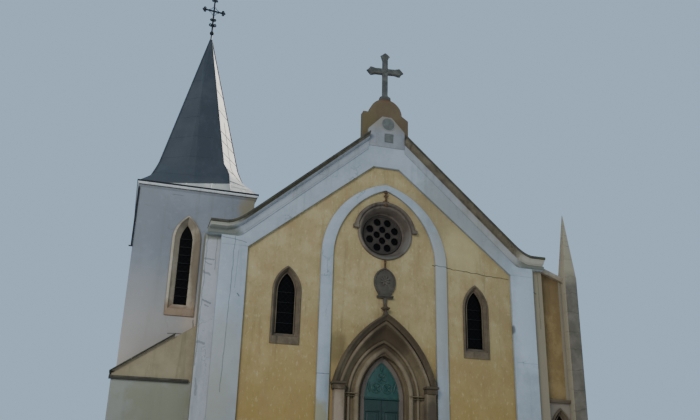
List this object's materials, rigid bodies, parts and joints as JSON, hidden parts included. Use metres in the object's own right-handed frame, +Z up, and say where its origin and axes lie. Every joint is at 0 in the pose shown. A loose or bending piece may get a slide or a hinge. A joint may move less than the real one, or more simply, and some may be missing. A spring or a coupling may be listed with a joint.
{
  "type": "plastered neo-gothic church building",
  "caption": "Gabled church with a corner tower and sheet metal spire, rose window, pointed portal with a double-leaf door, side annexes and a corner pinnacle.",
  "frame": {"origin": "on the ground under the entrance, on the middle line of the front, at the plane of the front wall's yellow field", "axes": "+X along the front to the right as seen from outside, +Y into the building, +Z up"},
  "size_m": [16.96, 17.05, 19.95],
  "materials": {
    "yellow_plaster": "matt yellow ochre lime plaster, weathered",
    "white_plaster": "matt white lime plaster, cracked",
    "brown_stone": "dressed brown sandstone",
    "pale_stone": "pale tan stone",
    "grey_stone": "grey weathered stone",
    "dark_coping": "dark mossy coping stone",
    "floor_stone": "worn stone slabs",
    "green_wood": "teal green painted wood",
    "white_wood": "white painted boards",
    "dark_glass": "dark leaded glass",
    "slate_metal": "slate blue sheet metal",
    "black_iron": "dark wrought iron",
    "roof_tile": "plain clay tiles"
  },
  "bodies": {
    "building": {"door_steps": "floor_stone", "nave_floor": "floor_stone", "front_wall_left": "yellow_plaster", "front_wall_right": "yellow_plaster", "front_wall_over_door": "yellow_plaster", "gable_wall": "yellow_plaster", "corner_pilaster_left": "white_plaster", "corner_pilaster_right": "white_plaster", "gable_band": "white_plaster", "arch_band": "white_plaster", "gable_coping_left": "dark_coping", "gable_coping_right": "dark_coping", "gable_pedestal": "pale_stone", "gable_cross": "grey_stone", "rose_frame": "brown_stone", "rose_tracery": "brown_stone", "rose_glass": "dark_glass", "medallion": "grey_stone", "portal_surround": "brown_stone", "portal_hood": "brown_stone", "door_tympanum": "green_wood", "window_frame_left": "brown_stone", "window_frame_right": "brown_stone", "window_glass_left": "dark_glass", "window_glass_right": "dark_glass", "nave_wall_left": "yellow_plaster", "nave_wall_right": "yellow_plaster", "nave_glass_left": "dark_glass", "nave_glass_right": "dark_glass", "nave_roof": "roof_tile", "back_wall": "yellow_plaster", "tower_shaft": "white_plaster", "tower_window_frame": "pale_stone", "tower_window_glass": "dark_glass", "tower_eave": "white_wood", "spire_skirt": "slate_metal", "spire_roof": "slate_metal", "spire_cross": "black_iron", "left_annex_wall": "yellow_plaster", "left_annex_coping": "dark_coping", "right_annex_front": "yellow_plaster", "right_annex_walls": "yellow_plaster", "right_annex_coping": "pale_stone", "right_annex_roof": "roof_tile", "annex_window_frame": "brown_stone", "annex_window_glass": "dark_glass", "corner_pinnacle": "grey_stone"},
    "leaf_left": {"door_leaf_left": "green_wood"},
    "leaf_right": {"door_leaf_right": "green_wood"}
  },
  "joints": [
    {"name": "door_left_hinge", "type": "hinge", "parent": "building", "child": "leaf_left", "pos_m": [-0.666, 0.26, 0.308], "axis": [0, 0, 1], "range_deg": [0, 95]},
    {"name": "door_right_hinge", "type": "hinge", "parent": "building", "child": "leaf_right", "pos_m": [0.666, 0.26, 0.308], "axis": [0, 0, -1], "range_deg": [0, 95]}
  ]
}
